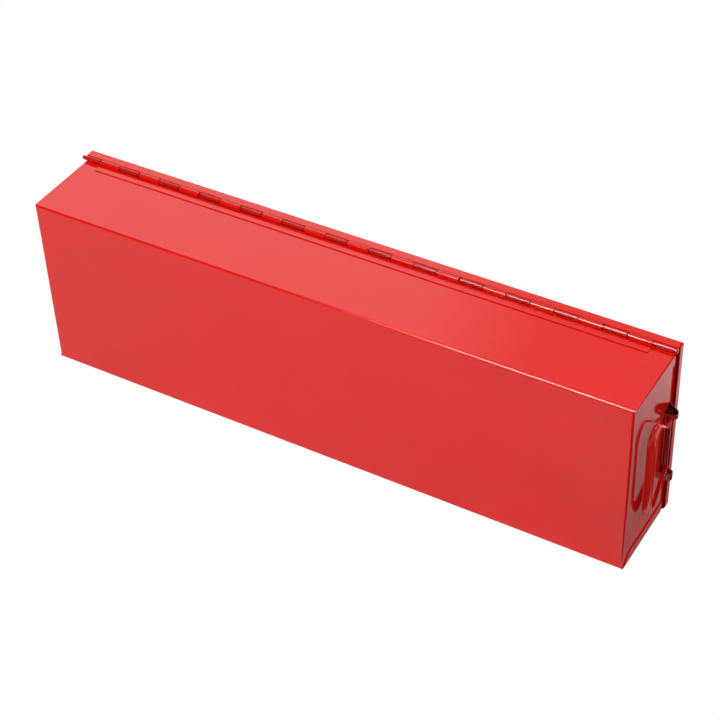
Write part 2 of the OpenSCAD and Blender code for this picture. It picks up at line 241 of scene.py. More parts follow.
class PaintShop:
    """Makes the finishes and the node group that the paints share."""

    def __init__(self) -> None:
        """Makes every finish once."""
        self.surface = self._make_surface()
        self.case = self._painted(CASE_PAINT)
        self.hinge = self._painted(HINGE_PAINT)
        self.handle = self._painted(HANDLE_LIT_PAINT)
        self.ribs = self._painted(RIBS_SHADE_PAINT)
        self.shade_and_seam = self._painted(SHADE_AND_SEAM_BLACK)
        self.loop = self._painted(LOOP_SHADE_PAINT)
        self.zinc = self._plated(ZINC)

    def _make_surface(self) -> bpy.types.NodeTree:
        """Node group of a painted surface: mottling, haze and orange peel.

        Returns:
            The group, with outputs Mottle, Roughness and Height.
        """
        group = bpy.data.node_groups.new("PaintSurface", "ShaderNodeTree")
        for name in ("Mottle Depth", "Least Roughness"):
            group.interface.new_socket(name=name, in_out="INPUT", socket_type="NodeSocketFloat")
        for name in ("Mottle", "Roughness", "Height"):
            group.interface.new_socket(name=name, in_out="OUTPUT", socket_type="NodeSocketFloat")
        tree = Tree(group)
        given = tree.node("NodeGroupInput").outputs
        made = tree.node("NodeGroupOutput").inputs
        coords = tree.node("ShaderNodeTexCoord").outputs["Object"]
        mottle = tree.ramp(tree.noise(coords, 9.0, 3.0), 0.35, 0.65, 0.0, 1.0)
        tree.link(tree.math("MULTIPLY", mottle, given["Mottle Depth"]), made["Mottle"])
        haze = tree.ramp(tree.noise(coords, 30.0, 5.0), 0.3, 0.75, 1.0, 1.8)
        tree.link(tree.math("MULTIPLY", haze, given["Least Roughness"]), made["Roughness"])
        tree.link(tree.noise(coords, 260.0, 1.0), made["Height"])
        return group

    def _start(self, name: str) -> tuple[bpy.types.Material, Tree, Node]:
        """Starts a material with its Principled shader.

        Args:
            name: Material name.

        Returns:
            The material, its tree and the Principled node.
        """
        material = bpy.data.materials.new(name)
        material.use_nodes = True
        material.node_tree.nodes.clear()
        tree = Tree(material.node_tree)
        shader = tree.node("ShaderNodeBsdfPrincipled")
        out = tree.node("ShaderNodeOutputMaterial")
        tree.link(shader.outputs["BSDF"], out.inputs["Surface"])
        return material, tree, shader

    def _painted(self, paint: Paint) -> bpy.types.Material:
        """Makes a gloss paint.

        Args:
            paint: Its values.

        Returns:
            The material.
        """
        material, tree, shader = self._start(paint.name)
        surface = tree.node("ShaderNodeGroup", node_tree=self.surface)
        surface.inputs["Mottle Depth"].default_value = paint.mottle
        surface.inputs["Least Roughness"].default_value = paint.roughness
        self._tint(tree, shader, surface.outputs["Mottle"], paint.colour, paint.darkest)
        tree.link(surface.outputs["Roughness"], shader.inputs["Roughness"])
        self._emboss(tree, shader, surface.outputs["Height"], paint.peel)
        return material

    def _plated(self, plating: Plating) -> bpy.types.Material:
        """Makes a plated metal.

        Args:
            plating: Its values.

        Returns:
            The material.
        """
        material, tree, shader = self._start(plating.name)
        shader.inputs["Metallic"].default_value = 1.0
        coords = tree.node("ShaderNodeTexCoord").outputs["Object"]
        cloud = tree.noise(coords, plating.cloud, 4.0)
        self._tint(tree, shader, cloud, plating.colour, plating.darkest)
        least, most = (plating.roughness * share for share in plating.spread)
        tree.link(tree.ramp(cloud, 0.3, 0.7, least, most), shader.inputs["Roughness"])
        self._emboss(tree, shader, tree.noise(coords, plating.grain), plating.grain_height)
        return material

    def _tint(self, tree: Tree, shader: Node, share: Socket, colour: Triple, darkest: float) -> None:
        """Gives a shader a colour that darkens in places.

        Args:
            tree: The material's tree.
            shader: Its Principled node.
            share: How far the colour darkens, from 0 to 1.
            colour: The full colour.
            darkest: Share of the colour that is left at 1.
        """
        tint = tree.node("ShaderNodeMix", data_type="RGBA")
        tint.inputs["A"].default_value = (*colour, 1.0)
        tint.inputs["B"].default_value = (*(part * darkest for part in colour), 1.0)
        tree.link(share, tint.inputs["Factor"])
        tree.link(tint.outputs["Result"], shader.inputs["Base Color"])

    def _emboss(self, tree: Tree, shader: Node, relief: Socket, height: float) -> None:
        """Gives a shader a fine relief.

        Args:
            tree: The material's tree.
            shader: Its Principled node.
            relief: The relief, from 0 to 1.
            height: Its height in millimetres.
        """
        bump = tree.node("ShaderNodeBump")
        bump.inputs["Strength"].default_value = 1.0
        bump.inputs["Distance"].default_value = height * MM
        tree.link(relief, bump.inputs["Height"])
        tree.link(bump.outputs["Normal"], shader.inputs["Normal"])

    def dress(self, nodes: dict[str, bpy.types.Object], record: dict) -> None:
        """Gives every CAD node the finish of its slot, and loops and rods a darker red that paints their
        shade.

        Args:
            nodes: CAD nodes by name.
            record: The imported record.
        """
        painted = {Slot.CASE: self.case, Slot.HINGE: self.hinge, Slot.HANDLE: self.handle}
        finish = {**painted, Slot.ZINC: self.zinc}
        slots = {part["node"]: Slot(part["material_slot"]) for part in record["subparts"]}
        for name, obj in nodes.items():
            # Loops and rods take the darker red, which paints their shade.
            shaded = name.endswith(("_loop", "_rod"))
            obj.data.materials.clear()
            obj.data.materials.append(self.loop if shaded else finish[slots[name]])
            LOG.info("dressed %s", name)


class Mould:
    """Collects the points and faces of one piece, in millimetres."""

    def __init__(self) -> None:
        """Starts empty."""
        self.points: list[Vector] = []
        self.faces: list[list[int]] = []

    def skin(self, rings: list[list[Vector]]) -> None:
        """Stretches a closed skin over a row of rings.

        Args:
            rings: Rings with equal numbers of points.
        """
        start = len(self.points)
        count = len(rings[0])
        for ring in rings:
            self.points.extend(ring)
        for i in range(len(rings) - 1):
            for k in range(count):
                near, far = start + i * count, start + (i + 1) * count
                self.faces.append([near + k, near + (k + 1) % count, far + (k + 1) % count, far + k])
        last = start + (len(rings) - 1) * count
        self.faces.append([start + k for k in reversed(range(count))])
        self.faces.append([last + k for k in range(count)])

    def turned(self, outline: list[Pair], axis: Pair, steps: int, flute: float = 0.0) -> None:
        """Adds a body turned about a line along x.

        Args:
            outline: Pairs of x and radius.
            axis: y and z of the line.
            steps: Points round the body.
            flute: Depth of the grooves along the body.
        """
        rings = []
        for x, radius in outline:
            ring = []
            for k in range(steps):
                angle = 2 * math.pi * k / steps
                deep = radius - flute * (0.5 - 0.5 * math.cos(FLUTES * angle))
                ring.append(Vector((x, axis[0] + deep * math.cos(angle), axis[1] + deep * math.sin(angle))))
            rings.append(ring)
        self.skin(rings)

    def bar(self, outline: list[Pair], x0: float, x1: float) -> None:
        """Adds a bar along x.

        Args:
            outline: Pairs of y and z round the bar.
            x0: Left end.
            x1: Right end.
        """
        self.skin([[Vector((x, y, z)) for y, z in outline] for x in (x0, x1)])

    def block(self, low: Triple, high: Triple) -> None:
        """Adds a box.

        Args:
            low: Low corner.
            high: High corner.
        """
        (x0, y0, z0), (x1, y1, z1) = low, high
        self.bar([(y0, z0), (y1, z0), (y1, z1), (y0, z1)], x0, x1)

    def cast(self, name: str, material: bpy.types.Material, mirrored: bool = False) -> bpy.types.Object:
        """Makes the object.

        Args:
            name: Object name.
            material: Its finish.
            mirrored: True to swap left and right.

        Returns:
            The new object.
        """
        side = -1.0 if mirrored else 1.0
        mesh = bpy.data.meshes.new(name)
        mesh.from_pydata([(side * p.x * MM, p.y * MM, p.z * MM) for p in self.points], [], self.faces)
        mesh.update()
        shell = bmesh.new()
        shell.from_mesh(mesh)
        bmesh.ops.recalc_face_normals(shell, faces=shell.faces)
        shell.to_mesh(mesh)
        shell.free()
        mesh.shade_smooth()
        mesh.set_sharp_from_angle(angle=SHARP)
        mesh.materials.append(material)
        made = bpy.data.objects.new(name, mesh)
        bpy.context.scene.collection.objects.link(made)
        LOG.info("made %s with %d faces", name, len(mesh.polygons))
        return made


def millimetres(node: str) -> tuple[Vector, Vector]:
    """Bounds of a CAD node.

    Args:
        node: Name of the node.

    Returns:
        Low and high corners in millimetres.
    """
    low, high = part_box(node)
    return Vector(low) / MM, Vector(high) / MM


@dataclass(frozen=True)
class Row:
    """Where the knuckles lie.

    Attributes:
        start: Left end of the row.
        pitch: Length of one knuckle and its gap.
        axis: y and z of the hinge.
    """

    start: float
    pitch: float
    axis: Pair


@dataclass(frozen=True)
class HingeRow:
    """The rolled knuckles of the long hinge, with their pin and leaves.

    Attributes:
        knuckles: Number of knuckles.
        barrel: Radius of the case's knuckles.
        ribbed: Radius over the ribs of the lid's knuckles.
        flute: Depth of the grooves between the ribs.
        gap: Gap between neighbouring knuckles.
        corner: Rounding of the knuckles' rims.
        bore: Radius that is left open in the knuckles' ends.
        pin: Radius of the pin.
        pin_inset: How far the pin's head starts inside the CAD's pin.
        head: From the CAD pin's left end to the first knuckle.
        head_radius: Radius of the pin's round head.
        leaf: Thickness of the leaves.
        leaf_gap: Gap between the barrel and the leaves' edges.
        undercut: Depth and height of the step under the case leaf's edge.
        overlap: How far the webs reach into the leaves.
        web_start: From the hinge's axis to the lid's webs.
        lip_gap: Gap between the lid's lips and the case's knuckles.
        lip_over: How far each lip reaches past its knuckle's ends.
    """

    knuckles: int = 27
    barrel: float = 2.6
    ribbed: float = 2.5
    flute: float = 0.09
    gap: float = 0.8
    corner: float = 0.35
    bore: float = 0.3
    pin: float = 1.2
    pin_inset: float = 1.6
    head: float = 4.8
    head_radius: float = 2.1
    leaf: float = 1.0
    leaf_gap: float = 0.6
    undercut: Pair = (0.8, 0.4)
    overlap: float = 0.5
    web_start: float = 1.0
    lip_gap: float = 0.3
    lip_over: float = 0.2

    def _ends(self, i: int, row: Row) -> Pair:
        """Ends of one knuckle.

        Args:
            i: Its number from the left.
            row: Where the knuckles lie.

        Returns:
            Its left and right ends.
        """
        head = self.head if i == 0 else 0.0
        start = row.start + i * row.pitch + self.gap / 2 + head
        return start, row.start + (i + 1) * row.pitch - self.gap / 2

    def _knuckle(self, mould: Mould, i: int, row: Row, radius: float, flute: float) -> Pair:
        """Adds one knuckle.

        Args:
            mould: Where to add it.
            i: Its number from the left.
            row: Where the knuckles lie.
            radius: Radius over its ribs.
            flute: Depth of its grooves.

        Returns:
            Its left and right ends.
        """
        x0, x1 = self._ends(i, row)
        rim = radius - self.corner
        left = [(x0, self.bore), (x0, rim), (x0 + self.corner, radius)]
        right = [(x1 - self.corner, radius), (x1, rim), (x1, self.bore)]
        mould.turned(left + right, row.axis, 8 * FLUTES, flute)
        return x0, x1

    def make(self, shop: PaintShop) -> None:
        """Makes the pieces in place of the CAD's plain ones.

        Args:
            shop: The finishes.
        """
        low, high = millimetres("hinge_pin")
        axis = ((low.y + high.y) / 2, (low.z + high.z) / 2)
        row = Row(low.x, (high.x - low.x) / self.knuckles, axis)
        self._case_half(shop, row)
        self._lid_half(shop, row)
        self._lips(shop, row)
        pin = Mould()
        tip, end = low.x + self.pin_inset, low.x + self.head
        full = self.head_radius
        dome = [(tip, 0.2), (tip + 0.1, 0.9), (tip + 0.5, 1.5), (tip + 1.2, full - 0.15), (tip + 2.0, full)]
        neck = [(end - 0.4, full), (end - 0.1, full - 0.3), (end, self.pin)]
        pin.turned(dome + neck + [(high.x - 0.3, self.pin), (high.x, self.pin - 0.3)], axis, 32)
        piece = pin.cast("HingePin", shop.hinge)
        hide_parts("hinge_pin")
        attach(piece, "case")

    def _case_half(self, shop: PaintShop, row: Row) -> None:
        """Makes the leaf on the back wall and its knuckles.

        Args:
            shop: The finishes.
            row: Where the knuckles lie.
        """
        low, high = millimetres("hinge_body_leaf")
        top = low.z + self.leaf
        deep, step = low.y + self.undercut[0], low.z + self.undercut[1]
        inner = row.axis[0] - self.barrel - self.leaf_gap
        mould = Mould()
        edge = [(deep, low.z), (deep, step), (low.y, step), (low.y, top)]
        mould.bar(edge + [(inner, top), (inner, low.z)], low.x, high.x)
        for i in range(1, self.knuckles - 1, 2):
            x0, x1 = self._knuckle(mould, i, row, self.barrel, 0.0)
            mould.block((x0, inner - self.overlap, low.z), (x1, row.axis[0], top))
        piece = mould.cast("HingeBodyHalf", shop.hinge)
        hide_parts("hinge_body_leaf")
        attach(piece, "case")

    def _lid_half(self, shop: PaintShop, row: Row) -> None:
        """Makes the leaf under the lid's skirt and its ribbed knuckles.

        Args:
            shop: The finishes.
            row: Where the knuckles lie.
        """
        high = millimetres("hinge_lid_leaf")[1]
        skirt = millimetres("lid_tray")[1]
        edge = row.axis[0] + self.barrel + self.leaf_gap
        under = skirt.z - self.leaf
        reach = skirt.x - self.leaf - self.leaf_gap
        mould = Mould()
        mould.block((-reach, edge, under - self.leaf), (reach, high.y, under))
        for i in range(0, self.knuckles, 2):
            x0, x1 = self._knuckle(mould, i, row, self.ribbed, self.flute)
            start = (max(x0, -reach), row.axis[0] + self.web_start, under - self.leaf)
            mould.block(start, (min(x1, reach), edge + self.overlap, under - 0.1))
        # The lid's half takes the darker ribbed red, which paints the shade on its knuckles.
        piece = mould.cast("HingeLidHalf", shop.ribs)
        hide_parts("hinge_lid_leaf")
        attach(piece, "lid")

    def _lips(self, shop: PaintShop, row: Row) -> None:
        """Makes the lips of the lid's skirt, which close on the case's knuckles.

        Args:
            shop: The finishes.
            row: Where the knuckles lie.
        """
        y, z = row.axis
        top = millimetres("lid_tray")[1].z
        back = y + self.barrel + self.leaf_gap + self.overlap
        radius = self.barrel + self.lip_gap
        rise = top - z
        heights = [rise - self.leaf + self.leaf * k / 4 for k in range(5)]
        face = [(y + math.sqrt(radius**2 - h**2), z + h) for h in heights]
        mould = Mould()
        for i in range(1, self.knuckles - 1, 2):
            start, end = self._ends(i, row)
            outline = [(back, top - self.leaf)] + face + [(back, top)]
            mould.bar(outline, start - self.lip_over, end + self.lip_over)
        piece = mould.cast("SkirtLips", shop.case)
        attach(piece, "lid")


def softened(points: list[Vector], parts: int) -> list[Vector]:
    """Smooth curve through a row of points.

    Args:
        points: The points.
        parts: Pieces that each span is cut into.

    Returns:
        The curve's points.
    """
    curve = []
    for i in range(len(points) - 1):
        p0, p1, p2, p3 = (points[min(max(i + k, 0), len(points) - 1)] for k in (-1, 0, 1, 2))
        for step in range(parts):
            t = step / parts
            bend = (2 * p0 - 5 * p1 + 4 * p2 - p3) * t * t + (3 * p1 - p0 - 3 * p2 + p3) * t**3
            curve.append((2 * p1 + (p2 - p0) * t + bend) / 2)
    curve.append(points[-1])
    return curve


@dataclass(frozen=True)
class Bail:
    """A pressed bail handle with a curled outer edge and a bead inside.

    Attributes:
        reach: From the pivot's axis to the grip's outer edge.
        height: Height of the grip over its outer edge.
        grip: Width of the grip's strip.
        arm: Width of the arms where they meet the grip.
        curl: Height of the curled outer edge over the pivot's axis.
        rise: Height of the grip's inner edge over the pivot's axis.
        root_rise: Height of the inner edge at the rod.
        bead: Radius of the bead.
        bead_sunk: Share of its radius that the bead's middle lies under the face.
        sheet: Thickness of the strip.
        flattest: Least share of the section's height that the arms keep.
        root: Outer edge at the rod; from the axis, and up from the middle.
        neck: Outer edge where the arm begins to swing out.
        root_in: Inner edge at the rod.
        neck_in: Inner edge where the arm begins to swing out.
        outer_turn: Half axes of the outer edge's corner.
        inner_turn: Half axes of the inner edge's corner.
        sweep: How fast the arm's outer edge swings out; 1 is straight.
        climb: How fast the inner edge rises from the rod; 1 is straight.
        arcs: Radius, first angle, last angle and steps of the face's arcs.
    """

    reach: float = 55.7
    height: float = 112.0
    grip: float = 11.5
    arm: float = 6.0
    curl: float = 1.2
    rise: float = 7.3
    root_rise: float = 3.8
    bead: float = 1.15
    bead_sunk: float = 0.3
    sheet: float = 1.3
    flattest: float = 0.5
    root: Pair = (1.4, 31.5)
    neck: Pair = (13.7, 33.5)
    root_in: Pair = (1.4, 28.9)
    neck_in: Pair = (12.7, 31.7)
    outer_turn: Pair = (14.0, 22.0)
    inner_turn: Pair = (9.2, 12.0)
    sweep: float = 1.6
    climb: float = 0.7
    arcs: tuple[tuple[float, float, float, int], ...] = (
        (5.0, 90.0, 32.0, 8),
        (16.0, 32.0, 12.0, 4),
        (13.0, 12.0, 2.0, 3),
    )

    def _edges(self) -> tuple[list[Vector], list[Vector]]:
        """Outer and inner edges seen from the side, from one root to the other.

        Returns:
            Points of both edges; x is the distance from the axis, y the height.
        """
        half = self.height / 2
        root, neck = Vector(self.root), Vector(self.neck)
        root_in, neck_in = Vector(self.root_in), Vector(self.neck_in)
        outer_turn, inner_turn = Vector(self.outer_turn), Vector(self.inner_turn)
        outer = Vector((self.reach, half)) - outer_turn
        inner = Vector((self.reach - self.grip, half - self.arm)) - inner_turn
        outside = [root.lerp(neck, k / 3) for k in range(4)]
        inside = [root_in.lerp(neck_in, k / 3) for k in range(4)]
        for k in range(1, 10):
            share = k / 9
            swing = half + (neck.y - half) * (1 - share) ** self.sweep
            outside.append(Vector((neck.x + (outer.x - neck.x) * share, swing)))
            inside.append(neck_in.lerp(Vector((inner.x, half - self.arm)), share))
        for k in range(1, 9):
            a = math.pi / 2 * k / 8
            outside.append(outer + Vector((outer_turn.x * math.sin(a), outer_turn.y * math.cos(a))))
            inside.append(inner + Vector((inner_turn.x * math.sin(a), inner_turn.y * math.cos(a))))
        flipped = [[Vector((p.x, -p.y)) for p in reversed(row)] for row in (outside, inside)]
        return softened(outside + flipped[0], 3), softened(inside + flipped[1], 3)

    def _section(self) -> list[Vector]:
        """Outline of the grip's strip: crowned face, bead and back.

        Returns:
            Points across the strip (x) and away from the wall (y).
        """
        place = Vector((0.0, 0.0))
        face = [place]
        back = [Vector((self.sheet, 0.0))]
        for radius, start, end, count in self.arcs:
            for k in range(count):
                a, b = (math.radians(start + (end - start) * (k + j) / count) for j in (0, 1))
                place = place + radius * Vector((math.sin(a) - math.sin(b), math.cos(b) - math.cos(a)))
                face.append(place)
                back.append(place + self.sheet * Vector((math.sin(b), -math.cos(b))))
        middle = Vector((self.grip - self.bead, place.y - self.bead_sunk * self.bead))
        turns = [math.radians(60 - 20 * k) for k in range(11)]
        bead = [middle + self.bead * Vector((-math.sin(a), math.cos(a))) for a in turns]
        seam = middle.x - 0.8 * self.bead  # the face ends where the bead starts
        return [p for p in face if p.x < seam] + bead + list(reversed(back[:-2]))

    def make(self, side: str, shop: PaintShop) -> None:
        """Makes one bail in place of the CAD's faceted one.

        Args:
            side: "right" or "left".
            shop: The finishes.
        """
        low, high = millimetres(f"{side}_pivot_rod")
        rod = (low + high) / 2
        sign = 1.0 if side == "right" else -1.0
        outside, inside = self._edges()
        section = self._section()
        tall = max(p.y for p in section)
        rings = []
        for outer, inner in zip(outside, inside):
            across = inner - outer
            wide = across.length / self.grip
            foot = self.curl * min(1.0, outer.x / (self.reach / 2))
            climb = (max(inner.x, 0.0) / (self.reach - self.grip)) ** self.climb
            top = self.root_rise + (self.rise - self.root_rise) * min(1.0, climb)
            steep = max(self.flattest, (top - foot) / tall)
            ring = []
            for p in section:
                plan = outer + across.normalized() * p.x * wide
                off = sign * rod.x + foot + p.y * steep
                ring.append(Vector((off, rod.y - plan.x, rod.z + plan.y)))
            rings.append(ring)
        mould = Mould()
        mould.skin(rings)
        # The bail takes the brighter red, which paints extra light on its grip.
        piece = mould.cast(f"{side.capitalize()}Bail", shop.handle, side == "left")
        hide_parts(f"{side}_bail")
        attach(piece, f"{side}_handle")


@dataclass(frozen=True)
class UpperLoop:
    """A strap loop with a slanted upper rim, with a near-black lining inside that paints its shade.

    Attributes:
        half: Half its width at the wall.
        height: Height over the wall.
        top: Radius of its round top.
        strap: Thickness of the strap.
        wall: Thickness of the end wall.
        foot: Length of the clinched feet.
        slant: How far the rim climbs for each millimetre towards the lid.
        near_slant: How far it drops for each millimetre away from the lid.
        droop: How far the rim drops for each millimetre away from the wall.
        ease: Rounding of the rims.
        sunk: How far the legs reach into the strap outside the wall.
        lining: From the strap to both faces of the near-black lining inside, which paints the shade there.
        shade_end: Length of the rod's near-black upper end, which paints the shade there.
        shade_skin: How far the near-black end stands off the rod's side and its top.
        chamfer: Bevel of the rod's end.
    """

    half: float = 5.7
    height: float = 11.8
    top: float = 3.6
    strap: float = 1.2
    wall: float = 1.0
    foot: float = 5.0
    slant: float = 0.42
    near_slant: float = 0.80
    droop: float = 0.30
    ease: float = 0.2
    sunk: float = 0.1
    lining: Pair = (0.02, 0.1)
    shade_end: float = 6.5
    shade_skin: Pair = (0.02, 0.03)
    chamfer: float = 0.4

    def _path(self, inset: float) -> list[Vector]:
        """Outline of the loop, from one foot over the top to the other.

        Args:
            inset: Distance inside the outer face.

        Returns:
            Points; x is along the wall, y away from it.
        """
        half, radius = self.half - inset, self.top - inset
        middle = self.height - self.top
        start = math.acos(radius / math.hypot(half, middle)) - math.atan2(middle, half)
        turns = [start + (math.pi - 2 * start) * k / 16 for k in range(17)]
        arc = [Vector((radius * math.cos(a), middle + radius * math.sin(a))) for a in turns]
        return [Vector((half, 0.0))] + arc + [Vector((-half, 0.0))]

    def make(self, side: str, shop: PaintShop) -> None:
        """Makes one upper loop.

        Args:
            side: "right" or "left".
            shop: The finishes.
        """
        low, high = millimetres(f"{side}_upper_loop")
        out = max(abs(low.x), abs(high.x))
        base = Vector((out - self.height, (low.y + high.y) / 2, low.z))
        full = high.z - low.z

        def place(p: Vector, up: float) -> Vector:
            """Point of the loop in the frame; up runs from 0 to 1 along the strap."""
            lean = self.slant if p.x > 0 else self.near_slant
            rim = full + lean * p.x - self.droop * p.y
            return base + Vector((p.y, p.x, rim * up))

        outer, inner = self._path(0.0), self._path(self.strap)
        crest = [self._path(self.ease), self._path(self.strap - self.ease)]
        near = 1 - self.ease / full
        mould = Mould()
        mould.skin([
            [place(o, 0.0), place(o, near), place(a, 1.0), place(b, 1.0), place(i, near), place(i, 0.0)]
            for o, a, b, i in zip(outer, crest[0], crest[1], inner)
        ])
        inside = base.x - self.wall
        back = inside - self.strap
        opening = self.half - self.strap
        for leg in (-1, 1):
            far, close, toe = (base.y + leg * reach for reach in (self.half, opening, opening + self.foot))
            mould.block((back, min(far, close), low.z), (base.x + self.sunk, max(far, close), high.z))
            mould.block((back, min(close, toe), low.z), (inside, max(close, toe), high.z))
        # The loop takes the darker red, which paints its shade.
        piece = mould.cast(f"{side.capitalize()}UpperLoop", shop.loop, side == "left")
        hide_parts(f"{side}_upper_loop")
        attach(piece, "case")
        self._line(side, shop, place, near)

    def _line(self, side: str, shop: PaintShop, place: Place, near: float) -> None:
        """Lines one upper loop and the wall inside it with a near-black skin that paints the shade there.

        Args:
            side: "right" or "left".
            shop: The finishes.
            place: Turns a point of the outline and a share of the height into a point of the frame.
            near: Height share at which the rim's rounding starts.
        """
        foot = 0.02  # share of the height where the lining starts
        least, most = self.lining
        strap = zip(self._path(self.strap + least), self._path(self.strap + most))
        opening = self.half - self.strap
        across = (-opening, -opening / 3, opening / 3, opening)
        wall = [(Vector((x, most + least)), Vector((x, least))) for x in across]
        lining = Mould()
        for pairs in (strap, wall):
            lining.skin([
                [place(a, foot), place(a, near), place(b, near), place(b, foot)]
                for a, b in pairs
            ])
        # Near-black skin over the loop's inside and the wall within it: painted shade.
        shade = lining.cast(f"{side.capitalize()}LoopShadeLining", shop.shade_and_seam, side == "left")
        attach(shade, "case")

    def cap(self, side: str, shop: PaintShop) -> None:
        """Makes the near-black upper end of one pivot rod, which paints the shade there.

        Args:
            side: "right" or "left".
            shop: The finishes.
        """
        low, high = millimetres(f"{side}_pivot_rod")
        middle = (low + high) / 2
        radius = (high.y - low.y) / 2
        skin, top = radius + self.shade_skin[0], high.z + self.shade_skin[1]
        outline = [
            (high.z - self.shade_end, skin),
            (high.z - self.chamfer, skin),
            (top, radius - self.chamfer),
            (top, 0.2),
        ]
        turns = [2 * math.pi * k / 32 for k in range(32)]
        mould = Mould()
        mould.skin([
            [Vector((abs(middle.x) + r * math.cos(a), middle.y + r * math.sin(a), z)) for a in turns]
            for z, r in outline
        ])
        # Near-black cap on the rod's top: painted shade.
        piece = mould.cast(f"{side.capitalize()}RodEndShade", shop.shade_and_seam, side == "left")
        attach(piece, f"{side}_handle")


@dataclass(frozen=True)
class CornerSeam:
    """The dark seam at the folded corner of each end.

    Attributes:
        start: Distances of its upper end from the panel's face and the back wall.
        end: The same for its lower end.
        half: Half its width.
        depth: How far it reaches into the sheet.
        proud: How far it stands off the end, to be seen.
    """

    start: Pair = (2.2, 1.6)
    end: Pair = (9.4, 8.0)
    half: float = 0.28
    depth: float = 0.3
    proud: float = 0.02

    def make(self, side: str, shop: PaintShop) -> None:
        """Makes the seam on one end.

        Args:
            side: "right" or "left".
            shop: The finishes.
        """
        low, high = millimetres("body_shell")
        run = (Vector(self.end) - Vector(self.start)).normalized()
        across = Vector((0.0, run.y, run.x)) * self.half
        out, inward = Vector((self.proud, 0, 0)), Vector((self.depth, 0, 0))
        rings = []
        for y, z in (self.start, self.end):
            place = Vector((high.x, low.y + y, high.z - z))
            face, floor = place + out, place - inward
            rings.append([face - across, face + across, floor + across, floor - across])
        mould = Mould()
        mould.skin(rings)
        piece = mould.cast(f"{side.capitalize()}CornerSeam", shop.shade_and_seam, side == "left")
        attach(piece, "case")


@dataclass(frozen=True)
class Shot:
    """Where the photograph was taken from.

    Attributes:
        place: Camera position in metres.
        azimuth: Turn round the case in degrees; 0 looks along +Y.
        elevation: Height above the horizon in degrees.
        roll: Turn of the camera about its own axis in degrees.
        lens: Focal length in millimetres on a 36 mm sensor.
    """

    place: Triple
    azimuth: float
    elevation: float
    roll: float
    lens: float

    def set_up(self) -> bpy.types.Object:
        """Makes the camera.

        Returns:
            The camera object.
        """
        data = bpy.data.cameras.new("Camera")
        data.lens = self.lens
        data.sensor_width = 36.0
        data.clip_end = 100.0
        camera = bpy.data.objects.new("Camera", data)
        azimuth, elevation, roll = (math.radians(a) for a in (self.azimuth, self.elevation, self.roll))
        camera.matrix_world = (
            Matrix.Translation(self.place)
            @ Matrix.Rotation(azimuth, 4, "Z")
            @ Matrix.Rotation(math.pi / 2 - elevation, 4, "X")
            @ Matrix.Rotation(roll, 4, "Z")
        )
        bpy.context.scene.collection.objects.link(camera)
        bpy.context.scene.camera = camera
        return camera


@dataclass(frozen=True)
class Softbox:
    """A rectangular lamp whose cloth falls off towards its left edge.

    Attributes:
        name: Object name.
        place: Middle of its cloth in metres.
        aim: Point that it faces.
        size: Width and height in metres.
        radiance: Brightness of the cloth where it is full.
        fade: Share of the width over which it fades in from the left.
    """

    name: str
    place: Triple
    aim: Triple
    size: Pair
    radiance: float
    fade: float

    def hang(self) -> bpy.types.Object:
        """Makes the lamp.

        Returns:
            The lamp's cloth.
        """
        w, h = (side / 2 for side in self.size)
        mesh = bpy.data.meshes.new(self.name)
        mesh.from_pydata([(-w, -h, 0), (w, -h, 0), (w, h, 0), (-w, h, 0)], [], [(0, 3, 2, 1)])
        cloth = bpy.data.objects.new(self.name, mesh)
        facing = (Vector(self.aim) - Vector(self.place)).to_track_quat("-Z", "Y")
        cloth.matrix_world = Matrix.Translation(self.place) @ facing.to_matrix().to_4x4()
        cloth.visible_camera = False
        material = bpy.data.materials.new(self.name)
        material.use_nodes = True
        material.node_tree.nodes.clear()
        tree = Tree(material.node_tree)
        parts = tree.node("ShaderNodeSeparateXYZ")
        tree.link(tree.node("ShaderNodeTexCoord").outputs["Object"], parts.inputs[0])
        glow = tree.node("ShaderNodeEmission")
        level = tree.ramp(parts.outputs["X"], -w, -w + 2 * w * self.fade, 0.0, self.radiance)
        tree.link(level, glow.inputs["Strength"])
        out = tree.node("ShaderNodeOutputMaterial")
        tree.link(glow.outputs[0], out.inputs["Surface"])
        mesh.materials.append(material)
        bpy.context.scene.collection.objects.link(cloth)
        return cloth


@dataclass(frozen=True)
class DarkCard:
    """A black card that lies on the floor, out of the camera's sight.

    Attributes:
        name: Object name.
        corners: Low and high corners on the floor, in metres.
        height: Height above the floor in metres.
    """

    name: str
    corners: Quad
    height: float = 0.001

    def lay(self) -> bpy.types.Object:
        """Makes the card.

        Returns:
            The card.
        """
        x0, y0, x1, y1 = self.corners
        mesh = bpy.data.meshes.new(self.name)
        corners = [(x0, y0), (x1, y0), (x1, y1), (x0, y1)]
        mesh.from_pydata([(x, y, self.height) for x, y in corners], [], [(0, 1, 2, 3)])
        card = bpy.data.objects.new(self.name, mesh)
        card.visible_camera = False
        material = bpy.data.materials.new(self.name)
        material.use_nodes = True
        shader = material.node_tree.nodes["Principled BSDF"]
        shader.inputs["Base Color"].default_value = (0.02, 0.02, 0.02, 1.0)
        shader.inputs["Roughness"].default_value = 1.0
        mesh.materials.append(material)
        bpy.context.scene.collection.objects.link(card)
        return card


@dataclass(frozen=True)
class Sweep:
    """Light of the surroundings, by direction.

    Attributes:
        dark: Brightness overhead and in front.
        left: Brightness of the lit sweep behind, on its left part.
        middle: Brightness of the sweep right of that.
        right: Brightness of the sweep on the far right.
        rise: Y of the direction over which the sweep fades in.
        step: X of the direction over which left turns to middle.
        fall: X of the direction over which middle turns to right.
    """

    dark: float
    left: float
    middle: float
    right: float
    rise: Pair
    step: Pair
    fall: Pair


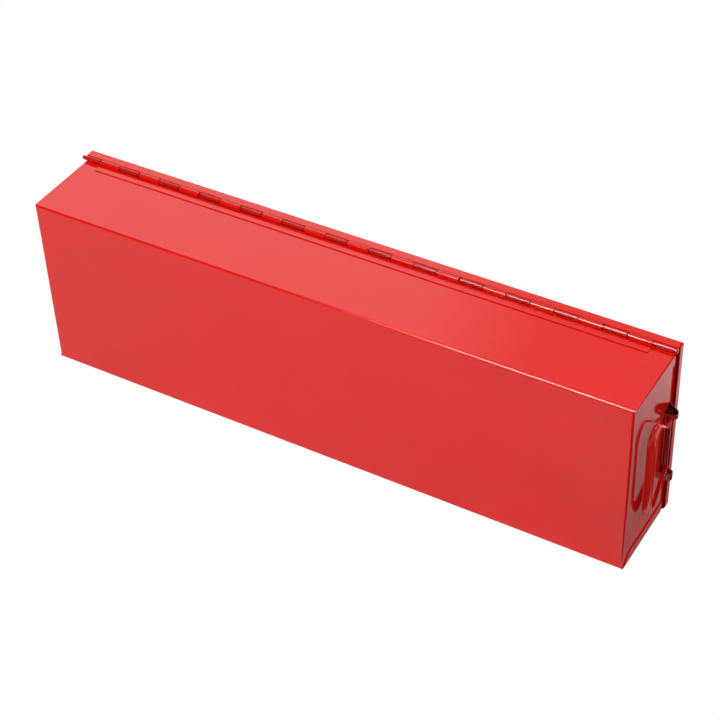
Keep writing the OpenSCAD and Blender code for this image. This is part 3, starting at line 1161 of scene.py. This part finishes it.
@dataclass
class Studio:
    """White floor, white surroundings and soft lights.

    Attributes:
        sweep: The surroundings.
        lamps: The lights to hang.
        cards: The dark cards to lay.
        floor_size: Side of the floor in metres.
        floor_shade: How much light the floor gives back.
    """

    sweep: Sweep
    lamps: list[Softbox] = field(default_factory=list)
    cards: list[DarkCard] = field(default_factory=list)
    floor_size: float = 12.0
    floor_shade: float = 0.8

    def build(self) -> None:
        """Makes the world, the floor and the lights."""
        self._world()
        self._floor()
        for lamp in self.lamps:
            lamp.hang()
        for card in self.cards:
            card.lay()

    def _world(self) -> None:
        """White to the camera, and the sweep's light to the case."""
        sweep = self.sweep
        world = bpy.data.worlds.new("World")
        world.use_nodes = True
        bpy.context.scene.world = world
        world.node_tree.nodes.clear()
        tree = Tree(world.node_tree)
        direction = tree.node("ShaderNodeTexCoord").outputs["Generated"]
        parts = tree.node("ShaderNodeSeparateXYZ")
        tree.link(direction, parts.inputs[0])
        near = tree.ramp(parts.outputs["X"], *sweep.step, sweep.left, sweep.middle)
        far = tree.ramp(parts.outputs["X"], *sweep.fall, 0.0, sweep.middle - sweep.right)
        lit = tree.math("SUBTRACT", near, far)
        behind = tree.ramp(parts.outputs["Y"], *sweep.rise, 0.0, 1.0)
        light = tree.math("ADD", tree.math("MULTIPLY", lit, behind), sweep.dark)
        path = tree.node("ShaderNodeLightPath")
        strength = tree.node("ShaderNodeMix", data_type="FLOAT")
        tree.link(path.outputs["Is Camera Ray"], strength.inputs["Factor"])
        tree.link(light, strength.inputs["A"])
        strength.inputs["B"].default_value = 1.0
        background = tree.node("ShaderNodeBackground")
        tree.link(strength.outputs["Result"], background.inputs["Strength"])
        out = tree.node("ShaderNodeOutputWorld")
        tree.link(background.outputs[0], out.inputs["Surface"])

    def _floor(self) -> None:
        """Floor that is pure white to the camera and plain white card to the case."""
        half = self.floor_size / 2
        mesh = bpy.data.meshes.new("Floor")
        corners = [(-half, -half, 0), (half, -half, 0), (half, half, 0), (-half, half, 0)]
        mesh.from_pydata(corners, [], [(0, 1, 2, 3)])
        floor = bpy.data.objects.new("Floor", mesh)
        material = bpy.data.materials.new("WhiteFloor")
        material.use_nodes = True
        material.node_tree.nodes.clear()
        tree = Tree(material.node_tree)
        card = tree.node("ShaderNodeBsdfDiffuse")
        card.inputs["Color"].default_value = (*[self.floor_shade] * 3, 1.0)
        glow = tree.node("ShaderNodeEmission")
        path = tree.node("ShaderNodeLightPath")
        mix = tree.node("ShaderNodeMixShader")
        tree.link(path.outputs["Is Camera Ray"], mix.inputs[0])
        tree.link(card.outputs[0], mix.inputs[1])
        tree.link(glow.outputs[0], mix.inputs[2])
        out = tree.node("ShaderNodeOutputMaterial")
        tree.link(mix.outputs[0], out.inputs["Surface"])
        mesh.materials.append(material)
        bpy.context.scene.collection.objects.link(floor)


SHOT = Shot(
    place=(0.79190, -1.23907, 1.34435),
    azimuth=31.986,
    elevation=40.449,
    roll=-2.503,
    lens=95.632,
)
SWEEP = Sweep(
    dark=0.10,
    left=1.75,
    middle=0.70,
    right=0.06,
    rise=(0.30, 0.50),
    step=(-0.385, -0.325),
    fall=(-0.24, 0.05),
)
KEY = Softbox(
    "Key",
    place=(-0.79, -1.52, 2.64),
    aim=(0.05, -0.05, 0.1),
    size=(0.88, 1.0),
    radiance=37.0,
    fade=0.55,
)
FILL = Softbox(
    "Fill",
    place=(1.30, 0.75, 1.00),
    aim=(0.33, 0.0, 0.1),
    size=(0.55, 0.55),
    radiance=6.0,
    fade=0.1,
)
GLINT = Softbox(
    "Glint",
    place=(1.35, -0.85, 1.25),
    aim=(0.33, 0.0, 0.1),
    size=(0.26, 0.26),
    radiance=24.0,
    fade=0.1,
)
CARDS = [
    DarkCard("RightCard", corners=(0.40, -0.06, 0.90, 0.10)),
    DarkCard("FrontCard", corners=(0.345, -0.30, 0.90, -0.06)),
]


def main() -> None:
    """Builds the whole picture."""
    logging.basicConfig(level=logging.INFO)
    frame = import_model()
    shop = PaintShop()
    shop.dress(frame["nodes"], frame["record"])
    HingeRow().make(shop)
    for side in ("right", "left"):
        Bail().make(side, shop)
        UpperLoop().make(side, shop)
        UpperLoop().cap(side, shop)
        CornerSeam().make(side, shop)
    Studio(SWEEP, [KEY, FILL, GLINT], CARDS).build()
    SHOT.set_up()
    bpy.context.scene.view_settings.view_transform = "Standard"
    bpy.context.view_layer.update()


if __name__ == "__main__":
    main()
